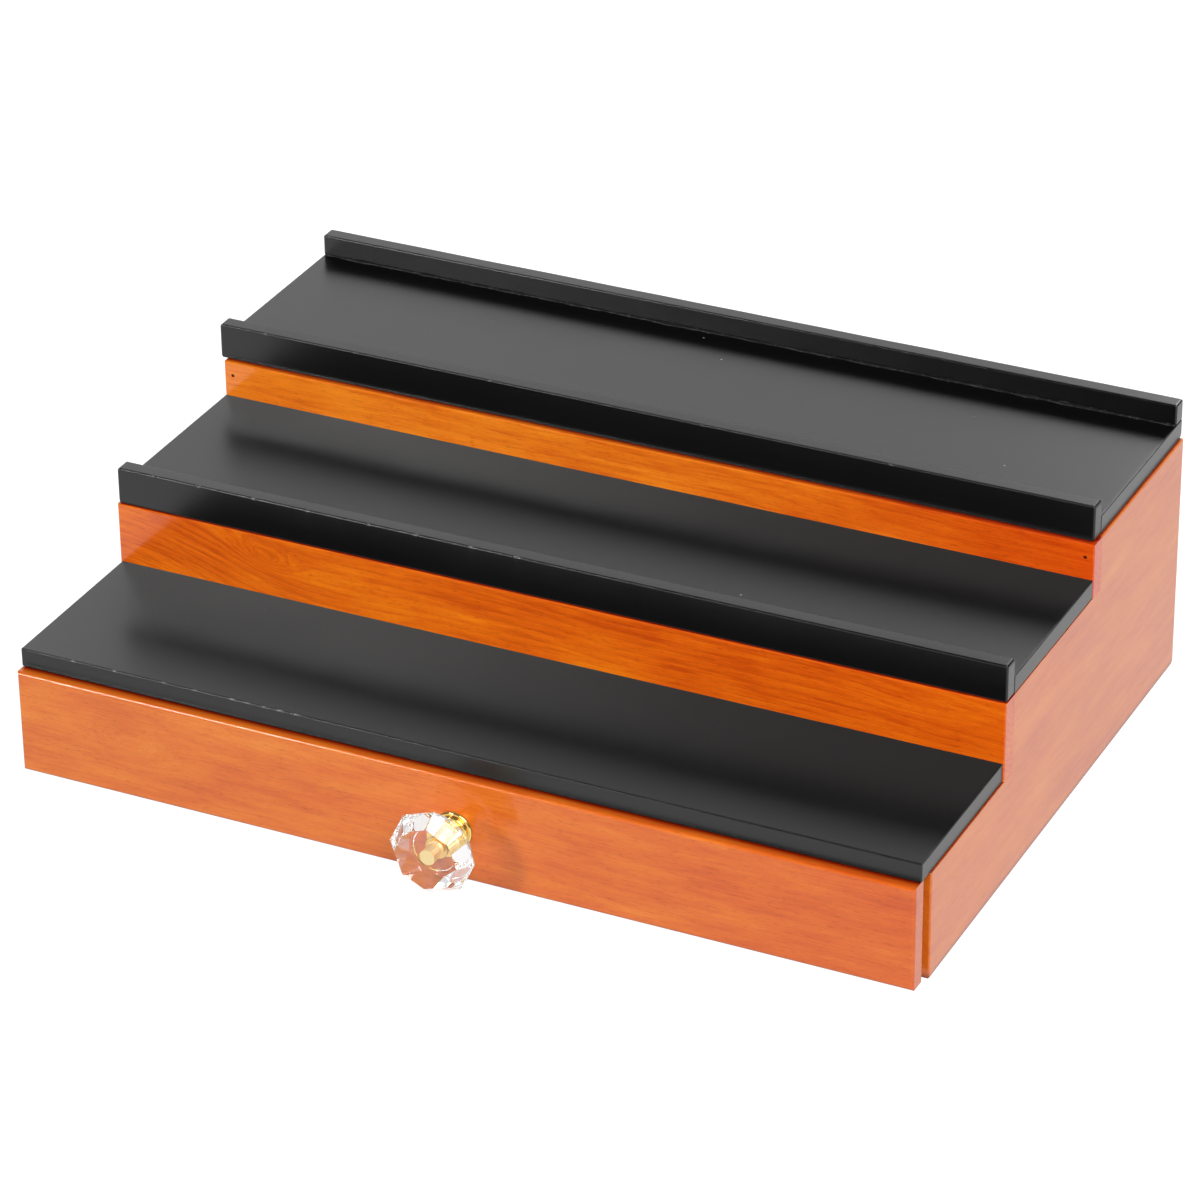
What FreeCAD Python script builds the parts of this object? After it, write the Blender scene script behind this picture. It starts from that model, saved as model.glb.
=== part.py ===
import FreeCAD
import Part
import math
import os

# A three-step wooden display stand for perfume bottles, with one full-width drawer under the lowest step.
# Millimetres. X runs to the right, Y to the rear and Z up.
# The origin is the middle of the case's footprint, on the surface that the case stands on.

Vec = FreeCAD.Vector

# Case: stepped side panels, riser boards, back and bottom
case_width = 350.0
case_depth = 237.0
side_thickness = 7.0
first_rise = 42.0
second_rise = 30.9
third_rise = 21.2
first_tread = 64.9
second_tread = 81.9
riser_thickness = 7.2
back_thickness = 5.0
bottom_thickness = 4.0
bottom_setback = 0.5
rabbet_depth = 3.0
heel_radius = 2.0
board_edge_bevel = 0.4

# Trays: black boards on the steps, with glued lip strips
tray_thickness = 7.3
tray_edge_bevel = 0.5
bottom_tray_overhang = 7.1
bottom_tray_end_inset = 0.6
middle_tray_end_inset = 0.1
middle_tray_setback = 1.0
top_tray_end_overhang = 0.7
top_tray_shift = -1.9
top_tray_setback = 2.5
top_tray_rear_overhang = 1.1
lip_thickness = 6.5
middle_lip_height = 7.1
top_front_lip_height = 6.7
top_rear_lip_height = 8.3
lip_end_radius = 1.6

# Drawer: a four-sided box with a bottom in grooves and a full-width front
drawer_shift = -0.3
drawer_rest_gap = 4.0
drawer_front_thickness = 7.0
drawer_front_end_inset = 0.9
drawer_front_floor_gap = 0.9
drawer_front_top_gap = 0.5
drawer_front_edge_radius = 1.2
drawer_side_clearance = 1.0
drawer_run_clearance = 0.3
drawer_top_clearance = 3.5
drawer_home_clearance = 3.3
drawer_wall = 6.5
drawer_bottom_thickness = 3.0
groove_depth = 2.5
groove_height = 2.6
groove_clearance = 0.1

# Knob: faceted crystal on a stepped brass base, held by one screw from inside the drawer
knob_shift = 1.5
knob_drop = 0.3
crystal_sides = 8
crystal_turn = -3.5
crystal_girdle_radius = 16.3
crystal_girdle_width = 0.7
crystal_table_radius = 12.1
crystal_crown_height = 5.2
crystal_pavilion_height = 7.6
crystal_neck_radius = 8.6
crystal_neck_length = 2.0
crystal_neck_shoulder = 0.3
base_ring_radii = (7.0, 6.0, 5.0)
base_ring_height = 1.3
base_groove_depth = 0.5
base_groove_width = 0.25
base_waist_radius = 3.9
base_waist_height = 0.6
base_cup_radius = 5.4
base_cup_height = 1.2
base_cup_rim = 0.6
bead_segments = 3
insert_radius = 2.95
insert_length = 12.5
insert_rib_count = 5
insert_rib_depth = 0.45
insert_end_length = 2.5
insert_thread_radius = 2.0
insert_thread_depth = 9.0
insert_glue_gap = 0.05
screw_radius = 1.9
screw_length = 25.0
screw_head_radius = 3.8
screw_head_height = 2.4
screw_hole_clearance = 0.3

# Brads: flat headless pins with a chisel point, which nail the boards together
brad_width = 1.25
brad_thickness = 1.0
brad_point = 1.5
brad_hole_clearance = 0.05
riser_brad_length = 18.0
riser_brad_set = 0.5
panel_brad_length = 14.0
wall_brad_length = 16.0
lower_riser_brad_heights = (8.0, 22.9)
upper_riser_brad_heights = (4.0, 15.8)
panel_brad_margin = 25.0
bottom_brad_count = 4
back_brad_count = 3
wall_brad_heights = (10.0, 26.0)

# Places that follow from the sizes
half_width = case_width / 2
case_front = -case_depth / 2
case_rear = case_depth / 2
step_one = first_rise
step_two = step_one + second_rise
step_three = step_two + third_rise
lower_riser_face = case_front + first_tread
upper_riser_face = lower_riser_face + second_tread
inner_half_width = half_width - side_thickness
panel_half_width = inner_half_width + rabbet_depth
back_inner_face = case_rear - back_thickness
edge_middle = half_width - side_thickness / 2
rabbet_middle = inner_half_width + rabbet_depth / 2

drawer_front_back = case_front - drawer_rest_gap
drawer_face = drawer_front_back - drawer_front_thickness
drawer_floor = bottom_thickness + drawer_run_clearance
drawer_wall_top = step_one - drawer_top_clearance
drawer_half_width = inner_half_width - drawer_side_clearance
drawer_box_rear = back_inner_face - drawer_home_clearance - drawer_rest_gap
drawer_front_low = drawer_front_floor_gap
drawer_front_high = step_one - drawer_front_top_gap
knob_x = drawer_shift + knob_shift
knob_z = (drawer_front_low + drawer_front_high) / 2 - knob_drop

base_rings_height = len(base_ring_radii) * (base_ring_height + base_groove_width)
base_height = base_rings_height + base_waist_height + base_cup_height + base_cup_rim

nodes = {}


def block(x0, x1, y0, y1, z0, z1):
    """A rectangular board between two corners."""
    return Part.makeBox(x1 - x0, y1 - y0, z1 - z0, Vec(x0, y0, z0))


def rod(x, y, z, direction, length, radius):
    """A round bar or hole that starts at a point and runs along a direction."""
    return Part.makeCylinder(radius, length, Vec(x, y, z), direction)


def polygon_face(corners):
    return Part.Face(Part.makePolygon(corners + corners[:1]))


def is_at(edge, **limits):
    """True where an edge lies wholly at the given coordinates, such as y=3.0."""
    bounds = edge.BoundBox
    low = {"x": bounds.XMin, "y": bounds.YMin, "z": bounds.ZMin}
    high = {"x": bounds.XMax, "y": bounds.YMax, "z": bounds.ZMax}
    return all(abs(low[k] - v) < 1e-4 and abs(high[k] - v) < 1e-4 for k, v in limits.items())


def edges_at(solid, places):
    return [e for e in solid.Edges if any(is_at(e, **place) for place in places)]


def rounded(solid, radius, *places):
    """Rounds every edge that lies at one of the given places."""
    return solid.makeFillet(radius, edges_at(solid, places))


def bevelled(solid, size, *places):
    """Breaks every edge that lies at one of the given places, and what runs on smoothly from it."""
    return solid.makeChamfer(size, edges_at(solid, places))


def spread(low, high, count):
    """Evenly spaced places from one value to another, both included."""
    return [low + (high - low) * i / (count - 1) for i in range(count)]


# Brads, each as the middle of its blunt end, its direction and its length
rearward = Vec(0, 1, 0)
forward = Vec(0, -1, 0)
upward = Vec(0, 0, 1)
rightward = Vec(1, 0, 0)
leftward = Vec(-1, 0, 0)


def riser_brads(face, bottom, heights):
    return [(Vec(side * edge_middle, face + riser_brad_set, bottom + h), rearward, riser_brad_length)
            for side in (-1, 1) for h in heights]


def panel_brads(places, direction):
    return [(Vec(side * rabbet_middle, y, z), direction, panel_brad_length) for side in (-1, 1) for y, z in places]


lower_riser_brads = riser_brads(lower_riser_face, step_one, lower_riser_brad_heights)
upper_riser_brads = riser_brads(upper_riser_face, step_two, upper_riser_brad_heights)
bottom_brad_rows = spread(case_front + panel_brad_margin, back_inner_face - panel_brad_margin, bottom_brad_count)
back_brad_rows = spread(panel_brad_margin, step_three - panel_brad_margin / 2, back_brad_count)
bottom_brads = panel_brads([(y, 0) for y in bottom_brad_rows], upward)
back_brads = panel_brads([(case_rear, z) for z in back_brad_rows], forward)


def brad(point, direction, length, clearance=0, lead=0):
    """A brad, or with a clearance its hole, which a lead carries on to the face that the brad is sunk below."""
    width = brad_width / 2 + clearance
    thickness = brad_thickness / 2 + clearance
    outline = [(-width, -lead), (width, -lead), (width, length - brad_point), (0, length + clearance),
               (-width, length - brad_point)]
    corners = [Vec(x, -thickness, z) for x, z in outline]
    solid = polygon_face(corners).extrude(Vec(0, 2 * thickness, 0))
    solid.Placement = FreeCAD.Placement(point, FreeCAD.Rotation(upward, direction))
    return solid


def brad_group(brads):
    return Part.makeCompound([brad(*place) for place in brads])


def nailed(solid, brads, lead=0):
    """Cuts the holes of the brads that reach a board."""
    for place in brads:
        solid = solid.cut(brad(*place, clearance=brad_hole_clearance, lead=lead))
    return solid


def side_panel(side):
    """One stepped side panel, with rabbets for the bottom and the back along its inner face."""
    outline = [
        (case_front, 0),
        (case_front, step_one),
        (lower_riser_face + riser_thickness, step_one),
        (lower_riser_face + riser_thickness, step_two),
        (upper_riser_face + riser_thickness, step_two),
        (upper_riser_face + riser_thickness, step_three),
        (case_rear, step_three),
        (case_rear, 0),
    ]
    points = [Vec(side * inner_half_width, y, z) for y, z in outline]
    panel = polygon_face(points).extrude(Vec(side * side_thickness, 0, 0))
    panel = rounded(panel, heel_radius, {"y": case_rear, "z": 0})
    outer = side * half_width
    panel = bevelled(
        panel, board_edge_bevel,
        {"x": outer, "y": case_front},
        {"x": outer, "y": case_rear},
        {"x": outer, "z": step_three},
    )
    low, high = sorted((side * inner_half_width, side * panel_half_width))
    panel = panel.cut(block(low, high, case_front, case_rear, 0, bottom_thickness))
    panel = panel.cut(block(low, high, back_inner_face, case_rear, 0, step_three))
    own = [b for b in lower_riser_brads + upper_riser_brads + bottom_brads + back_brads if b[0].x * side > 0]
    return nailed(panel, own)


def riser(face, bottom, top, brads, lead):
    """A riser board nailed over the front edges of both side panels."""
    board = block(-half_width, half_width, face, face + riser_thickness, bottom, top)
    board = bevelled(
        board, board_edge_bevel,
        {"y": face, "z": top},
        {"x": half_width, "y": face},
        {"x": -half_width, "y": face},
    )
    return nailed(board, brads, lead)


def make_case():
    nodes["side_panel_left"] = side_panel(-1)
    nodes["side_panel_right"] = side_panel(1)
    # The holes above the brads are filled in the lower riser and open in the upper one
    nodes["lower_riser"] = riser(lower_riser_face, step_one, step_two, lower_riser_brads, 0)
    nodes["upper_riser"] = riser(upper_riser_face, step_two, step_three, upper_riser_brads, riser_brad_set)
    bottom = block(-panel_half_width, panel_half_width, case_front + bottom_setback, back_inner_face,
                   0, bottom_thickness)
    nodes["case_bottom"] = nailed(bottom, bottom_brads)
    back = block(-panel_half_width, panel_half_width, back_inner_face, case_rear, 0, step_three)
    nodes["case_back"] = nailed(back, back_brads)
    nodes["riser_brads"] = brad_group(lower_riser_brads + upper_riser_brads)
    nodes["bottom_brads"] = brad_group(bottom_brads)
    nodes["back_brads"] = brad_group(back_brads)


def lip_strip(x0, x1, y0, z0, z1):
    """A lip strip with rounded end corners and a small bevel round its front and back faces."""
    strip = block(x0, x1, y0, y0 + lip_thickness, z0, z1)
    strip = rounded(
        strip, lip_end_radius,
        {"x": x0, "z": z0}, {"x": x1, "z": z0}, {"x": x0, "z": z1}, {"x": x1, "z": z1},
    )
    return bevelled(strip, tray_edge_bevel, {"y": y0, "z": z1}, {"y": y0 + lip_thickness, "z": z1})


def make_trays():
    # The lowest tray reaches out over the drawer front and butts against the lower riser
    end = half_width - bottom_tray_end_inset
    front = case_front - bottom_tray_overhang
    top = step_one + tray_thickness
    board = block(-end, end, front, lower_riser_face, step_one, top)
    nodes["bottom_tray"] = bevelled(
        board, tray_edge_bevel,
        {"y": front, "z": top}, {"y": front, "z": step_one},
        {"x": -end, "z": top}, {"x": end, "z": top},
    )

    # The middle tray lies on the lower riser's top edge and butts against the upper riser
    end = half_width - middle_tray_end_inset
    lip_front = lower_riser_face + middle_tray_setback
    top = step_two + tray_thickness
    board = block(-end, end, lip_front + lip_thickness, upper_riser_face, step_two, top)
    nodes["middle_tray"] = bevelled(board, tray_edge_bevel, {"x": -end, "z": top}, {"x": end, "z": top})
    nodes["middle_tray_lip"] = lip_strip(-end, end, lip_front, step_two, top + middle_lip_height)

    # The top tray is a little longer than the case and sits slightly to the left
    left = -half_width - top_tray_end_overhang + top_tray_shift
    right = half_width + top_tray_end_overhang + top_tray_shift
    lip_front = upper_riser_face + top_tray_setback
    rear = case_rear + top_tray_rear_overhang
    top = step_three + tray_thickness
    board = block(left, right, lip_front + lip_thickness, rear, step_three, top)
    board = rounded(board, heel_radius, {"y": rear, "z": step_three})
    nodes["top_tray"] = bevelled(board, tray_edge_bevel, {"x": left, "z": top}, {"x": right, "z": top})
    nodes["top_tray_front_lip"] = lip_strip(left, right, lip_front, step_three, top + top_front_lip_height)
    strip = block(left, right, rear - lip_thickness, rear, top, top + top_rear_lip_height)
    nodes["top_tray_rear_lip"] = bevelled(
        strip, tray_edge_bevel,
        {"y": rear, "z": top + top_rear_lip_height},
        {"y": rear - lip_thickness, "z": top + top_rear_lip_height},
        {"x": left, "z": top + top_rear_lip_height},
        {"x": right, "z": top + top_rear_lip_height},
    )


def make_drawer_box():
    left = drawer_shift - drawer_half_width
    right = drawer_shift + drawer_half_width
    front = drawer_front_back
    rear = drawer_box_rear
    low = drawer_floor
    high = drawer_wall_top

    # The bottom panel's groove goes round all four walls
    groove_low = low + groove_height
    groove_high = groove_low + drawer_bottom_thickness + 2 * groove_clearance
    reach = groove_depth - groove_clearance
    groove = block(left + drawer_wall - groove_depth, right - drawer_wall + groove_depth,
                   front + drawer_wall - groove_depth, rear - drawer_wall + groove_depth,
                   groove_low, groove_high)

    walls = {
        "drawer_side_left": block(left, left + drawer_wall, front, rear, low, high),
        "drawer_side_right": block(right - drawer_wall, right, front, rear, low, high),
        "drawer_box_front": block(left + drawer_wall, right - drawer_wall, front, front + drawer_wall, low, high),
        "drawer_box_back": block(left + drawer_wall, right - drawer_wall, rear - drawer_wall, rear, low, high),
    }
    brads = []
    for y in (front + drawer_wall / 2, rear - drawer_wall / 2):
        for height in wall_brad_heights:
            brads.append((Vec(left, y, low + height), rightward, wall_brad_length))
            brads.append((Vec(right, y, low + height), leftward, wall_brad_length))
    screw_hole = rod(knob_x, drawer_face, knob_z, rearward, drawer_front_thickness + drawer_wall,
                     screw_radius + screw_hole_clearance)
    for name, wall in walls.items():
        wall = nailed(wall.cut(groove), brads)
        nodes[name] = wall.cut(screw_hole)
    nodes["drawer_bottom"] = block(left + drawer_wall - reach, right - drawer_wall + reach,
                                   front + drawer_wall - reach, rear - drawer_wall + reach,
                                   groove_low + groove_clearance, groove_high - groove_clearance)
    nodes["drawer_brads"] = brad_group(brads)

    end = half_width - drawer_front_end_inset
    x0 = drawer_shift - end
    x1 = drawer_shift + end
    board = block(x0, x1, drawer_face, drawer_front_back, drawer_front_low, drawer_front_high)
    board = rounded(
        board, drawer_front_edge_radius,
        {"y": drawer_face, "z": drawer_front_low}, {"y": drawer_face, "z": drawer_front_high},
        {"y": drawer_face, "x": x0}, {"y": drawer_face, "x": x1},
    )
    nodes["drawer_front"] = board.cut(screw_hole)


def turned(profile):
    """Turns a closed profile of lines about the knob's axis. Points are radius and distance from the drawer."""
    points = [Vec(knob_x + r, drawer_face - d, knob_z) for r, d in profile]
    return polygon_face(points).revolve(Vec(knob_x, 0, knob_z), rearward, 360)


def bead(outer_radius, start, height):
    """Points of a ring's half-round rim, from one side of the ring to the other."""
    points = []
    for i in range(bead_segments + 1):
        angle = math.pi * i / bead_segments
        radius = outer_radius - height / 2 * (1 - math.sin(angle))
        points.append((radius, start + height / 2 * (1 - math.cos(angle))))
    return points


def octagon(radius, distance):
    """The corners of a cross-section of the crystal."""
    corners = []
    for i in range(crystal_sides):
        angle = math.radians(crystal_turn + 360 * i / crystal_sides)
        corners.append(Vec(knob_x + radius * math.cos(angle), drawer_face - distance,
                           knob_z + radius * math.sin(angle)))
    return corners


def make_crystal():
    """Table, crown, girdle and pavilion facets over a ground round neck with a blind bore for the insert."""
    neck_end = base_height
    pavilion_start = neck_end + crystal_neck_length
    girdle_start = pavilion_start + crystal_pavilion_height
    girdle_end = girdle_start + crystal_girdle_width
    table = girdle_end + crystal_crown_height
    flat_to_corner = math.cos(math.pi / crystal_sides)
    rings = [
        octagon((crystal_neck_radius + crystal_neck_shoulder) / flat_to_corner, pavilion_start),
        octagon(crystal_girdle_radius, girdle_start),
        octagon(crystal_girdle_radius, girdle_end),
        octagon(crystal_table_radius, table),
    ]
    faces = [polygon_face(rings[0]), polygon_face(rings[-1])]
    for lower, upper in zip(rings, rings[1:]):
        for i in range(crystal_sides):
            k = (i + 1) % crystal_sides
            faces.append(polygon_face([lower[i], lower[k], upper[k], upper[i]]))
    gem = Part.makeSolid(Part.makeShell(faces))
    neck = rod(knob_x, drawer_face - neck_end, knob_z, forward, crystal_neck_length, crystal_neck_radius)
    bore = rod(knob_x, drawer_face - neck_end, knob_z, forward, insert_length + insert_glue_gap,
               insert_radius + insert_glue_gap)
    nodes["knob_crystal"] = gem.fuse(neck).removeSplitter().cut(bore)


def make_knob():
    # The base is a stack of round-edged rings parted by grooves, then a waist and the cup that holds the glass
    bore = screw_radius + screw_hole_clearance
    profile = [(bore, 0)]
    distance = 0
    for radius in base_ring_radii:
        profile += bead(radius, distance, base_ring_height)
        distance += base_ring_height
        groove = radius - base_ring_height / 2 - base_groove_depth
        profile += [(groove, distance + base_groove_width / 2)]
        distance += base_groove_width
    profile += [
        (base_waist_radius, distance),
        (base_waist_radius, distance + base_waist_height),
        (base_cup_radius, distance + base_waist_height + base_cup_height),
        (base_cup_radius, base_height),
        (bore, base_height),
    ]
    nodes["knob_base"] = turned(profile)
    make_crystal()

    # The insert has V ribs round its length, which hold the glue, and it is tapped for the screw
    tip = base_height + insert_length
    rib_pitch = (insert_length - insert_end_length) / insert_rib_count
    outline = [
        (0, base_height + insert_thread_depth),
        (insert_thread_radius, base_height + insert_thread_depth),
        (insert_thread_radius, base_height),
        (insert_radius, base_height),
    ]
    for i in range(insert_rib_count):
        outline.append((insert_radius - insert_rib_depth, base_height + rib_pitch * (i + 0.5)))
        outline.append((insert_radius, base_height + rib_pitch * (i + 1)))
    nodes["knob_insert"] = turned(outline + [(insert_radius, tip), (0, tip)])

    # Pan head, then the shank forward through both boards into the insert
    seat = -(drawer_front_thickness + drawer_wall)
    nodes["knob_screw"] = turned([
        (0, seat + screw_length),
        (screw_radius, seat + screw_length),
        (screw_radius, seat),
        (screw_head_radius, seat),
        (screw_head_radius, seat - screw_head_height * 0.5),
        (screw_head_radius * 0.7, seat - screw_head_height),
        (0, seat - screw_head_height),
    ])


def write_parts():
    os.makedirs("parts", exist_ok=True)
    for name, shape in nodes.items():
        shape.exportStep("parts/" + name + ".step")
        box = shape.BoundBox
        print("%-20s %2d solid(s) valid %s  x %.1f..%.1f  y %.1f..%.1f  z %.1f..%.1f" % (
            name, len(shape.Solids), shape.isValid(), box.XMin, box.XMax, box.YMin, box.YMax, box.ZMin, box.ZMax))


make_case()
make_trays()
make_drawer_box()
make_knob()
write_parts()
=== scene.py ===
import math
import bpy
import bmesh
from mathutils import Matrix, Vector, noise


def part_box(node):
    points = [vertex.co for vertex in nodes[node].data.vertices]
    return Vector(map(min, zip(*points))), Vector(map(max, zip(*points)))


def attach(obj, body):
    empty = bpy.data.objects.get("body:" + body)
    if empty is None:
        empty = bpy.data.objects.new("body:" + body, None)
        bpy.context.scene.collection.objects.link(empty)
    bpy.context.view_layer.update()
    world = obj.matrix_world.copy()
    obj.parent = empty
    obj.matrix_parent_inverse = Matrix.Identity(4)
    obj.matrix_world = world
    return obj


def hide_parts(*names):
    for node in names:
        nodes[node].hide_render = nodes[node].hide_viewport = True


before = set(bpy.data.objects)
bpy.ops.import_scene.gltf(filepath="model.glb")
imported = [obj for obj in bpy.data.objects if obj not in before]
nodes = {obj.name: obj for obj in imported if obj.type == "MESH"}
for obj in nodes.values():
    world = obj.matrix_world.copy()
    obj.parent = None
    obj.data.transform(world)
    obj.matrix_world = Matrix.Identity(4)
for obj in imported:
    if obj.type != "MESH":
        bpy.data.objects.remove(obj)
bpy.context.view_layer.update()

# Perfume organizer with drawer: stained case, black stepped trays, one drawer with a cut crystal knob.
# Metres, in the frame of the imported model: X to the right, Y to the rear, Z up.

mm = 0.001


# Small helpers for shader trees

# Where nodes stand in the shader editor
nodeGrid = {
    "rows": 5, "columnWidth": 220, "rowHeight": 260, "groupEnd": 2400, "shaderAt": 2600, "outputAt": 2900,
}


def wire(tree, socket, value):
    if isinstance(value, bpy.types.NodeSocket):
        tree.links.new(value, socket)
    else:
        socket.default_value = value


def put(tree, kind, sockets=None, **settings):
    node = tree.nodes.new("ShaderNode" + kind)
    column, row = divmod(len(tree.nodes), nodeGrid["rows"])
    node.location = (column * nodeGrid["columnWidth"], -row * nodeGrid["rowHeight"])
    for name, value in settings.items():
        setattr(node, name, value)
    for name, value in (sockets or {}).items():
        wire(tree, node.inputs[name], value)
    return node


def calc(tree, operation, *values, clamp=False):
    return put(tree, "Math", dict(enumerate(values)), operation=operation, use_clamp=clamp).outputs[0]


def vecCalc(tree, operation, *values):
    node = put(tree, "VectorMath", dict(enumerate(values)), operation=operation)
    return node.outputs["Value" if operation in ("LENGTH", "DOT_PRODUCT") else "Vector"]


def remap(tree, value, low, high, toLow=0.0, toHigh=1.0):
    return put(tree, "MapRange", {0: value, 1: low, 2: high, 3: toLow, 4: toHigh}).outputs[0]


def blendColor(tree, factor, first, second, mode="MIX"):
    node = put(tree, "Mix", {0: factor, 6: first, 7: second}, data_type="RGBA", blend_type=mode)
    return node.outputs[2]


def noiseAt(tree, vector, scale, detail=2.0, roughness=0.5):
    sockets = {"Vector": vecCalc(tree, "MULTIPLY", vector, scale), "Scale": 1.0, "Detail": detail,
               "Roughness": roughness}
    return put(tree, "TexNoise", sockets).outputs[0]


def ramp(tree, factor, stops):
    node = put(tree, "ValToRGB", {0: factor})
    elements = node.color_ramp.elements
    while len(elements) < len(stops):
        elements.new(0.5)
    for element, (place, color) in zip(elements, stops):
        element.position = place
        element.color = (*color, 1)
    return node.outputs[0]


def newGroup(name, inputs, outputs):
    group = bpy.data.node_groups.new(name, "ShaderNodeTree")
    for label, kind, value in inputs:
        socket = group.interface.new_socket(name=label, in_out="INPUT", socket_type="NodeSocket" + kind)
        socket.default_value = value
    for label, kind in outputs:
        group.interface.new_socket(name=label, in_out="OUTPUT", socket_type="NodeSocket" + kind)
    source = group.nodes.new("NodeGroupInput")
    sink = group.nodes.new("NodeGroupOutput")
    sink.location = (nodeGrid["groupEnd"], 0)
    return group, source.outputs, sink.inputs


def useGroup(tree, group, **sockets):
    node = tree.nodes.new("ShaderNodeGroup")
    node.node_tree = group
    for label, value in sockets.items():
        spaced = "".join(" " + c if c.isupper() else c for c in label).strip()
        wire(tree, node.inputs[spaced[0].upper() + spaced[1:]], value)
    return node.outputs


# Effects that several finishes share, as node groups

grainShape = {
    # Each noise: scale per millimetre along and across the grain, detail, roughness
    "driftNoise": ((0.007, 0.02, 0.02), 2.0), "jitterNoise": ((0.02, 0.15, 0.15), 1.0),
    "fibreNoise": ((0.06, 1.3, 1.3), 4.0, 0.65), "poreNoise": ((0.32, 3.4, 3.4), 1.0),
    "cloudNoise": ((0.02, 0.09, 0.09), 3.0, 0.6),
    "seedShift": (137.0, 71.0, 53.0), "ringJitter": 1.1, "ringFrom": 0.25, "ringFull": 0.9, "ringEnd": 0.93,
    "poreFrom": 0.60, "poreFull": 0.72,
}


def makeGrainGroup(look):
    # Works in millimetres with the grain along X. The eye is a bulge that the grain flows round.
    group, given, result = newGroup(
        "boardGrain",
        [("Vector", "Vector", (0, 0, 0)), ("Seed", "Float", 0.0), ("Ring Size", "Float", 4.0),
         ("Pith", "Vector", (0, 40, 0)), ("Tilt", "Float", 0.06), ("Waver", "Float", 6.0),
         ("Eye Place", "Vector", (0, 0, 0)), ("Eye Reach", "Vector", (10, 10, 4)),
         ("Eye Rise", "Float", 0.0)],
        [("Rings", "Float"), ("Fibre", "Float"), ("Pores", "Float"), ("Cloud", "Float")])
    place = vecCalc(group, "SCALE", given["Vector"])
    place.node.inputs["Scale"].default_value = 1 / mm
    offset = vecCalc(group, "SCALE", look["seedShift"])
    wire(group, offset.node.inputs["Scale"], given["Seed"])
    seeded = vecCalc(group, "ADD", place, offset)
    fromEye = vecCalc(group, "SUBTRACT", place, given["Eye Place"])
    distance = vecCalc(group, "LENGTH", vecCalc(group, "DIVIDE", fromEye, given["Eye Reach"]))
    squared = calc(group, "MULTIPLY", distance, distance)
    eye = calc(group, "EXPONENT", calc(group, "MULTIPLY", squared, -1.0))
    drift = calc(group, "SUBTRACT", noiseAt(group, seeded, *look["driftNoise"]), 0.5)
    bulge = calc(group, "MULTIPLY", eye, given["Eye Rise"])
    rise = calc(group, "ADD", calc(group, "MULTIPLY", drift, given["Waver"]), bulge)
    lift = put(group, "CombineXYZ", {0: 0.0, 1: rise, 2: rise}).outputs[0]
    bent = vecCalc(group, "ADD", seeded, lift)
    fromPith = vecCalc(group, "ADD", vecCalc(group, "SUBTRACT", place, given["Pith"]), lift)
    away = put(group, "SeparateXYZ", {0: fromPith}).outputs
    across = calc(group, "MULTIPLY_ADD", away[0], given["Tilt"], away[1])
    reach = vecCalc(group, "LENGTH", put(group, "CombineXYZ", {0: 0.0, 1: across, 2: away[2]}).outputs[0])
    jitter = calc(group, "MULTIPLY", noiseAt(group, seeded, *look["jitterNoise"]), look["ringJitter"])
    # Each ring darkens slowly and ends sharply
    saw = calc(group, "FRACT", calc(group, "ADD", calc(group, "DIVIDE", reach, given["Ring Size"]), jitter))
    rising = remap(group, saw, look["ringFrom"], look["ringFull"])
    falling = remap(group, saw, 1.0, look["ringEnd"])
    pores = remap(group, noiseAt(group, bent, *look["poreNoise"]), look["poreFrom"], look["poreFull"])
    wire(group, result["Rings"], calc(group, "MULTIPLY", rising, falling))
    wire(group, result["Fibre"], noiseAt(group, bent, *look["fibreNoise"]))
    wire(group, result["Pores"], pores)
    wire(group, result["Cloud"], noiseAt(group, bent, *look["cloudNoise"]))
    return group


edgeShape = {
    "samples": 4, "turnFrom": 0.02, "turnFull": 0.18, "detail": 3.0, "patchLow": 0.62, "patchSpread": 0.16,
}


def makeEdgeGroup(look):
    # Mask is 1 along the edges, broken up by noise. Normal is the true one with its edges eased.
    group, given, result = newGroup(
        "edgeWear",
        [("Vector", "Vector", (0, 0, 0)), ("Radius", "Float", 0.0005), ("Patchiness", "Float", 0.5),
         ("Grit", "Float", 600.0)],
        [("Mask", "Float"), ("Normal", "Vector")])
    eased = put(group, "Bevel", {"Radius": given["Radius"]}, samples=look["samples"]).outputs[0]
    true = put(group, "NewGeometry").outputs["Normal"]
    turn = calc(group, "SUBTRACT", 1.0, vecCalc(group, "DOT_PRODUCT", eased, true))
    edge = remap(group, turn, look["turnFrom"], look["turnFull"])
    sockets = {"Vector": given["Vector"], "Scale": given["Grit"], "Detail": look["detail"]}
    patches = put(group, "TexNoise", sockets).outputs[0]
    low = calc(group, "MULTIPLY", given["Patchiness"], look["patchLow"])
    broken = remap(group, patches, low, calc(group, "ADD", low, look["patchSpread"]))
    wire(group, result["Mask"], calc(group, "MULTIPLY", edge, broken))
    wire(group, result["Normal"], eased)
    return group


smallestSpeck = 0.4   # as a share of the size given, to which each speck adds up to one more


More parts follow.
